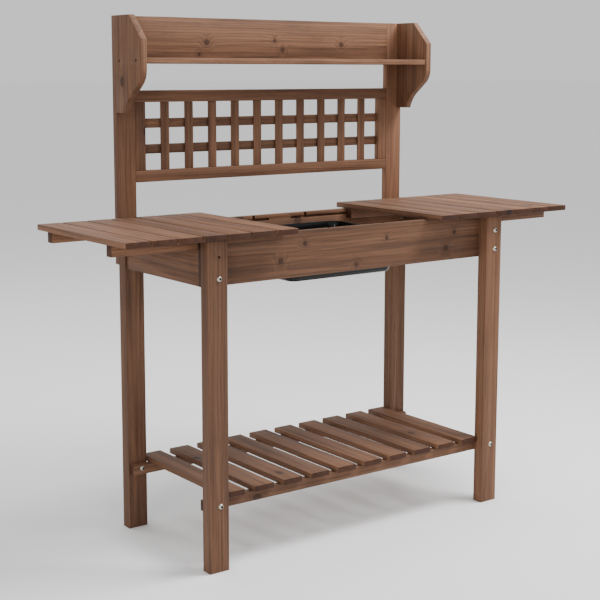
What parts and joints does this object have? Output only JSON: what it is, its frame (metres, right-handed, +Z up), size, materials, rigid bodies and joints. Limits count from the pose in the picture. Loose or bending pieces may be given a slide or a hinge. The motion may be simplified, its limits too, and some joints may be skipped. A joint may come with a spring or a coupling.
{
  "type": "potting bench",
  "caption": "Wooden potting bench with sliding half tops over a lift-out basin, a slatted lower shelf, and a hutch with a lattice panel and a narrow shelf.",
  "frame": {"origin": "on the floor, under the centre of the bench's bounding box with both half tops pulled out", "axes": "+X to the right as seen from the front, +Y to the back, +Z up"},
  "size_m": [1.48, 0.496, 1.4],
  "materials": {
    "stained_fir": "planed fir with a warm brown stain, visible grain and knots, redder end grain",
    "basin_plastic": "glossy black moulded plastic",
    "zinc_bolts": "bright zinc-plated round-headed bolts",
    "insert_steel": "plain zinc-plated threaded inserts",
    "pin_steel": "plain steel pins",
    "screw_steel": "yellow zinc-plated wood screws"
  },
  "bodies": {
    "frame": {"front_left_leg": "stained_fir", "front_right_leg": "stained_fir", "back_left_leg": "stained_fir", "back_right_leg": "stained_fir", "front_apron": "stained_fir", "back_apron": "stained_fir", "left_side_apron": "stained_fir", "right_side_apron": "stained_fir", "front_stretcher": "stained_fir", "rear_stretcher": "stained_fir", "shelf_slat_1": "stained_fir", "shelf_slat_2": "stained_fir", "shelf_slat_3": "stained_fir", "shelf_slat_4": "stained_fir", "shelf_slat_5": "stained_fir", "shelf_slat_6": "stained_fir", "shelf_slat_7": "stained_fir", "shelf_slat_8": "stained_fir", "shelf_slat_9": "stained_fir", "shelf_slat_10": "stained_fir", "left_post": "stained_fir", "right_post": "stained_fir", "hutch_back_board": "stained_fir", "hutch_shelf": "stained_fir", "left_bracket": "stained_fir", "right_bracket": "stained_fir", "lattice_top_rail": "stained_fir", "lattice_bottom_rail": "stained_fir", "lattice_left_stile": "stained_fir", "lattice_right_stile": "stained_fir", "lattice_uprights": "stained_fir", "lattice_cross_slats": "stained_fir", "basin_rails": "stained_fir", "short_leg_bolts": "zinc_bolts", "long_leg_bolts": "zinc_bolts", "insert_nuts": "insert_steel", "frame_screws": "screw_steel"},
    "left_top": {"left_top_slat_1": "stained_fir", "left_top_slat_2": "stained_fir", "left_top_slat_3": "stained_fir", "left_top_slat_4": "stained_fir", "left_top_slat_5": "stained_fir", "left_top_slat_6": "stained_fir", "left_top_slat_7": "stained_fir", "left_front_batten": "stained_fir", "left_back_batten": "stained_fir", "left_guide_pins": "pin_steel", "left_top_screws": "screw_steel"},
    "right_top": {"right_top_slat_1": "stained_fir", "right_top_slat_2": "stained_fir", "right_top_slat_3": "stained_fir", "right_top_slat_4": "stained_fir", "right_top_slat_5": "stained_fir", "right_top_slat_6": "stained_fir", "right_top_slat_7": "stained_fir", "right_front_batten": "stained_fir", "right_back_batten": "stained_fir", "right_guide_pins": "pin_steel", "right_top_screws": "screw_steel"},
    "basin": {"basin": "basin_plastic"}
  },
  "joints": [
    {"name": "left_top_slide", "type": "slide", "parent": "frame", "child": "left_top", "axis": [1, 0, 0], "range_m": [0, 0.243]},
    {"name": "right_top_slide", "type": "slide", "parent": "frame", "child": "right_top", "axis": [-1, 0, 0], "range_m": [0, 0.243]},
    {"name": "basin_lift", "type": "slide", "parent": "frame", "child": "basin", "axis": [0, 0, 1], "range_m": [0, 0.2]}
  ]
}
